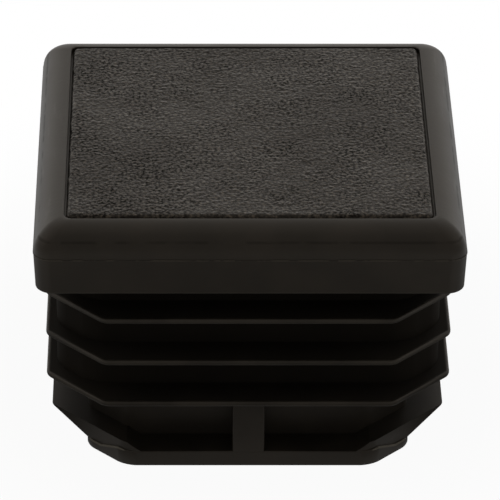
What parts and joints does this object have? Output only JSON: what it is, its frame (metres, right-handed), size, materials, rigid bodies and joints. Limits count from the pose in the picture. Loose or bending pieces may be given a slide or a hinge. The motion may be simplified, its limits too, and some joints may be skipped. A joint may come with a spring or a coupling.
{
  "type": "tube end cap",
  "caption": "Square plug with a domed head, raised grained panel and hollow finned stem, pressed into the open end of a square tube.",
  "frame": {"origin": "centre of the foot ring's underside, on the surface the cap stands on", "axes": "+Z from the foot ring up to the head, along the tube's axis; X and Y square to the four sides, with the stem's webs at +Y and -Y and the foot's lead-in lips at +X and -X"},
  "size_m": [0.03, 0.03, 0.0196],
  "materials": {
    "black_polyethylene": "satin moulded black, with a grained panel on the head"
  },
  "bodies": {
    "root": {"ribbed_end_cap": "black_polyethylene"}
  },
  "joints": []
}
